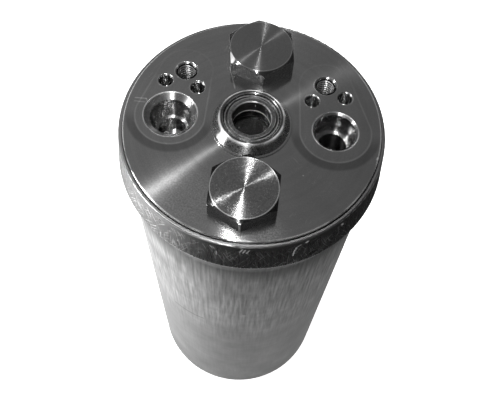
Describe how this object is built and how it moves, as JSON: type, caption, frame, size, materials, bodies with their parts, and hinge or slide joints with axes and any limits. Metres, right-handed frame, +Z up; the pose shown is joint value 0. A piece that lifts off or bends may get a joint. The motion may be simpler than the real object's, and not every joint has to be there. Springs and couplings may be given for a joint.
{
  "type": "filter drier",
  "caption": "Refrigerant filter drier: drawn can with a rolled mouth round a machined head carrying pipe ports, tapped pads, hexagon plugs and a sight glass.",
  "frame": {"origin": "middle of the can's foot, on the plane that it stands on", "axes": "+Z up along the can towards the head; the ports lie along X, outlet at -X; the hexagon plugs lie along Y"},
  "size_m": [0.0808, 0.0808, 0.1815],
  "materials": {
    "can_aluminium": "drawn aluminium, scuffed and dull, with fine upright rubbing streaks",
    "machined_aluminium": "bright turned face with fine concentric tool marks",
    "plug_steel": "turned crown, milled flats",
    "seal_rubber": "matt black",
    "washer_plastic": "white slip washer",
    "sight_glass": "clear polished glass over a dark chamber",
    "dark_steel": "dark oxidised steel with a turned face",
    "plate_steel": "pressed bright steel",
    "spring_steel": "drawn spring wire",
    "tube_aluminium": "drawn tube",
    "felt": "pressed filter felt",
    "desiccant": "bed of small round beads",
    "strainer_plastic": "moulded, natural colour",
    "screen_wire": "fine woven wire"
  },
  "bodies": {
    "root": {"canister": "can_aluminium", "head": "machined_aluminium", "head_seal": "seal_rubber", "front_hex_plug": "plug_steel", "front_plug_seal": "seal_rubber", "rear_hex_plug": "plug_steel", "rear_plug_seal": "seal_rubber", "sight_glass_retainer": "dark_steel", "sight_glass_washer": "washer_plastic", "sight_glass": "sight_glass", "sight_glass_gasket": "seal_rubber", "passage_plug": "plate_steel", "pick_up_tube": "tube_aluminium", "strainer_frame": "strainer_plastic", "strainer_screen": "screen_wire", "lower_plate": "plate_steel", "lower_felt": "felt", "desiccant_bed": "desiccant", "upper_felt": "felt", "upper_plate": "plate_steel", "pressure_spring": "spring_steel"}
  },
  "joints": []
}
